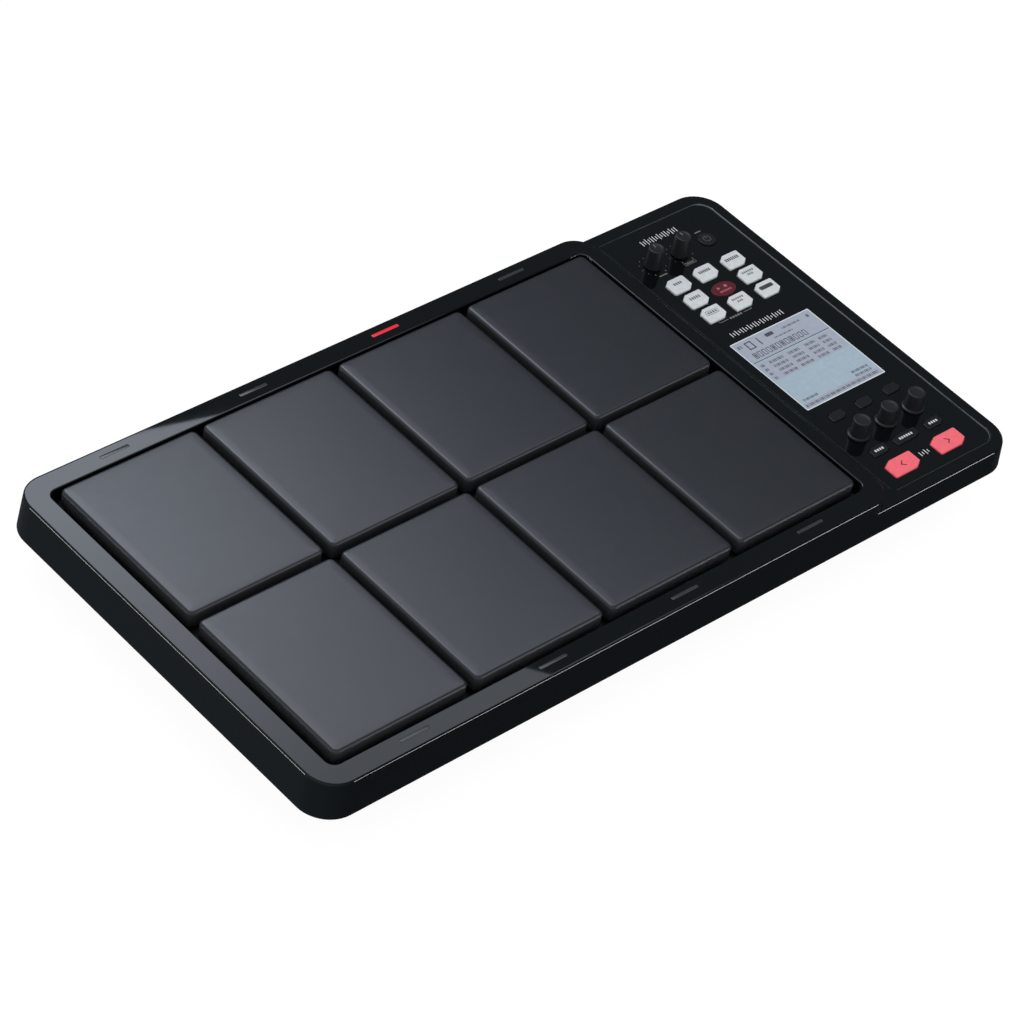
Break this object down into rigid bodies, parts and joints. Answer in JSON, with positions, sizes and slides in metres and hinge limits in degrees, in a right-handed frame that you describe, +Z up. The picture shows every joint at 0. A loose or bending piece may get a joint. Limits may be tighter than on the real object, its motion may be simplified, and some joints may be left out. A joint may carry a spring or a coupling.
{
  "type": "electronic drum pad",
  "caption": "Tabletop percussion pad: rubber pads in a raised glossy block beside a control panel with a screen, push buttons, knobs and lit selector keys.",
  "frame": {"origin": "middle of the case's outline, on the surface that the rubber feet stand on", "axes": "+X along the long side towards the control panel, +Y from the player to the rear sockets, +Z up"},
  "size_m": [0.53, 0.2722, 0.059],
  "materials": {
    "piano_black_case": "high gloss",
    "panel_gloss": "high gloss",
    "chassis_plastic": "fine texture",
    "pad_rubber": "matte",
    "foot_rubber": "matte",
    "foam": "closed cell foam",
    "white_button": "satin",
    "red_button": "backlit",
    "pink_button": "backlit satin",
    "dark_button": "satin",
    "knob_plastic": "satin",
    "shaft_metal": "turned",
    "light_bar": "frosted clear",
    "screen_lens": "clear over a lit display",
    "display_module": "moulded frame",
    "circuit_board": "solder resist",
    "electronics": "moulded",
    "control_body": "stamped",
    "socket_plastic": "moulded",
    "usb_metal": "plated",
    "steel_plate": "zinc plated",
    "screw_steel": "blackened",
    "sensor_brass": "plain"
  },
  "bodies": {
    "case": {"upper_shell": "piano_black_case", "led_light_bars": "light_bar", "led_boards": "circuit_board", "pad_bed_plate": "steel_plate", "pad_foam": "foam", "pad_sensors": "sensor_brass", "panel_plate": "panel_gloss", "lcd_lens": "screen_lens", "lcd_module": "display_module", "panel_board": "circuit_board", "tact_switches": "electronics", "volume_pots": "control_body", "rotary_encoders": "control_body", "lower_chassis": "chassis_plastic", "rubber_feet": "foot_rubber", "stand_mount_plate": "steel_plate", "main_board": "circuit_board", "board_chips": "electronics", "jack_sockets": "socket_plastic", "midi_socket": "socket_plastic", "usb_socket": "usb_metal", "power_inlet": "socket_plastic", "case_screws": "screw_steel", "short_screws": "screw_steel"},
    "rubber_pad_1": {"rubber_pad_1": "pad_rubber"},
    "rubber_pad_2": {"rubber_pad_2": "pad_rubber"},
    "rubber_pad_3": {"rubber_pad_3": "pad_rubber"},
    "rubber_pad_4": {"rubber_pad_4": "pad_rubber"},
    "rubber_pad_5": {"rubber_pad_5": "pad_rubber"},
    "rubber_pad_6": {"rubber_pad_6": "pad_rubber"},
    "rubber_pad_7": {"rubber_pad_7": "pad_rubber"},
    "rubber_pad_8": {"rubber_pad_8": "pad_rubber"},
    "metronome_button": {"metronome_button": "white_button"},
    "mixer_button": {"mixer_button": "white_button"},
    "effects_button": {"effects_button": "white_button"},
    "song_button": {"song_button": "white_button"},
    "reverb_button": {"reverb_button": "white_button"},
    "setup_button": {"setup_button": "white_button"},
    "mute_button": {"mute_button": "white_button"},
    "save_button": {"save_button": "white_button"},
    "start_button": {"start_button": "red_button"},
    "kit_down_button": {"kit_down_button": "pink_button"},
    "kit_up_button": {"kit_up_button": "pink_button"},
    "screen_key_1": {"screen_key_1": "dark_button"},
    "screen_key_2": {"screen_key_2": "dark_button"},
    "screen_key_3": {"screen_key_3": "dark_button"},
    "menu_button": {"menu_button": "dark_button"},
    "click_button": {"click_button": "dark_button"},
    "back_button": {"back_button": "dark_button"},
    "power_button": {"power_button": "dark_button"},
    "volume_control_1": {"volume_knob_1": "knob_plastic", "volume_shaft_1": "shaft_metal"},
    "volume_control_2": {"volume_knob_2": "knob_plastic", "volume_shaft_2": "shaft_metal"},
    "encoder_1": {"encoder_knob_1": "knob_plastic", "encoder_shaft_1": "shaft_metal"},
    "encoder_2": {"encoder_knob_2": "knob_plastic", "encoder_shaft_2": "shaft_metal"},
    "encoder_3": {"encoder_knob_3": "knob_plastic", "encoder_shaft_3": "shaft_metal"}
  },
  "joints": [
    {"name": "rubber_pad_1_press", "type": "slide", "parent": "case", "child": "rubber_pad_1", "axis": [0, 0, -1], "range_m": [0, 0.001], "stiffness_N_per_m": 20000},
    {"name": "rubber_pad_2_press", "type": "slide", "parent": "case", "child": "rubber_pad_2", "axis": [0, 0, -1], "range_m": [0, 0.001], "stiffness_N_per_m": 20000},
    {"name": "rubber_pad_3_press", "type": "slide", "parent": "case", "child": "rubber_pad_3", "axis": [0, 0, -1], "range_m": [0, 0.001], "stiffness_N_per_m": 20000},
    {"name": "rubber_pad_4_press", "type": "slide", "parent": "case", "child": "rubber_pad_4", "axis": [0, 0, -1], "range_m": [0, 0.001], "stiffness_N_per_m": 20000},
    {"name": "rubber_pad_5_press", "type": "slide", "parent": "case", "child": "rubber_pad_5", "axis": [0, 0, -1], "range_m": [0, 0.001], "stiffness_N_per_m": 20000},
    {"name": "rubber_pad_6_press", "type": "slide", "parent": "case", "child": "rubber_pad_6", "axis": [0, 0, -1], "range_m": [0, 0.001], "stiffness_N_per_m": 20000},
    {"name": "rubber_pad_7_press", "type": "slide", "parent": "case", "child": "rubber_pad_7", "axis": [0, 0, -1], "range_m": [0, 0.001], "stiffness_N_per_m": 20000},
    {"name": "rubber_pad_8_press", "type": "slide", "parent": "case", "child": "rubber_pad_8", "axis": [0, 0, -1], "range_m": [0, 0.001], "stiffness_N_per_m": 20000},
    {"name": "metronome_button_press", "type": "slide", "parent": "case", "child": "metronome_button", "axis": [0, 0, -1], "range_m": [0, 0.0008], "stiffness_N_per_m": 1200},
    {"name": "mixer_button_press", "type": "slide", "parent": "case", "child": "mixer_button", "axis": [0, 0, -1], "range_m": [0, 0.0008], "stiffness_N_per_m": 1200},
    {"name": "effects_button_press", "type": "slide", "parent": "case", "child": "effects_button", "axis": [0, 0, -1], "range_m": [0, 0.0008], "stiffness_N_per_m": 1200},
    {"name": "song_button_press", "type": "slide", "parent": "case", "child": "song_button", "axis": [0, 0, -1], "range_m": [0, 0.0008], "stiffness_N_per_m": 1200},
    {"name": "reverb_button_press", "type": "slide", "parent": "case", "child": "reverb_button", "axis": [0, 0, -1], "range_m": [0, 0.0008], "stiffness_N_per_m": 1200},
    {"name": "setup_button_press", "type": "slide", "parent": "case", "child": "setup_button", "axis": [0, 0, -1], "range_m": [0, 0.0008], "stiffness_N_per_m": 1200},
    {"name": "mute_button_press", "type": "slide", "parent": "case", "child": "mute_button", "axis": [0, 0, -1], "range_m": [0, 0.0008], "stiffness_N_per_m": 1200},
    {"name": "save_button_press", "type": "slide", "parent": "case", "child": "save_button", "axis": [0, 0, -1], "range_m": [0, 0.0008], "stiffness_N_per_m": 1200},
    {"name": "start_button_press", "type": "slide", "parent": "case", "child": "start_button", "axis": [0, 0, -1], "range_m": [0, 0.0008], "stiffness_N_per_m": 1200},
    {"name": "kit_down_button_press", "type": "slide", "parent": "case", "child": "kit_down_button", "axis": [0, 0, -1], "range_m": [0, 0.0008], "stiffness_N_per_m": 1200},
    {"name": "kit_up_button_press", "type": "slide", "parent": "case", "child": "kit_up_button", "axis": [0, 0, -1], "range_m": [0, 0.0008], "stiffness_N_per_m": 1200},
    {"name": "screen_key_1_press", "type": "slide", "parent": "case", "child": "screen_key_1", "axis": [0, 0, -1], "range_m": [0, 0.0006], "stiffness_N_per_m": 1200},
    {"name": "screen_key_2_press", "type": "slide", "parent": "case", "child": "screen_key_2", "axis": [0, 0, -1], "range_m": [0, 0.0006], "stiffness_N_per_m": 1200},
    {"name": "screen_key_3_press", "type": "slide", "parent": "case", "child": "screen_key_3", "axis": [0, 0, -1], "range_m": [0, 0.0006], "stiffness_N_per_m": 1200},
    {"name": "menu_button_press", "type": "slide", "parent": "case", "child": "menu_button", "axis": [0, 0, -1], "range_m": [0, 0.0006], "stiffness_N_per_m": 1200},
    {"name": "click_button_press", "type": "slide", "parent": "case", "child": "click_button", "axis": [0, 0, -1], "range_m": [0, 0.0006], "stiffness_N_per_m": 1200},
    {"name": "back_button_press", "type": "slide", "parent": "case", "child": "back_button", "axis": [0, 0, -1], "range_m": [0, 0.0006], "stiffness_N_per_m": 1200},
    {"name": "power_button_press", "type": "slide", "parent": "case", "child": "power_button", "axis": [0, 0, -1], "range_m": [0, 0.001], "stiffness_N_per_m": 1200},
    {"name": "volume_1_turn", "type": "hinge", "parent": "case", "child": "volume_control_1", "pos_m": [0.1859, 0.0959, 0.0451], "axis": [0, 0, 1], "range_deg": [-150, 150]},
    {"name": "volume_2_turn", "type": "hinge", "parent": "case", "child": "volume_control_2", "pos_m": [0.2084, 0.0959, 0.0451], "axis": [0, 0, 1], "range_deg": [-150, 150]},
    {"name": "encoder_1_turn", "type": "hinge", "parent": "case", "child": "encoder_1", "pos_m": [0.1859, -0.0802, 0.0451], "axis": [0, 0, 1], "continuous": true},
    {"name": "encoder_2_turn", "type": "hinge", "parent": "case", "child": "encoder_2", "pos_m": [0.2089, -0.0802, 0.0451], "axis": [0, 0, 1], "continuous": true},
    {"name": "encoder_3_turn", "type": "hinge", "parent": "case", "child": "encoder_3", "pos_m": [0.2319, -0.0802, 0.0451], "axis": [0, 0, 1], "continuous": true}
  ]
}
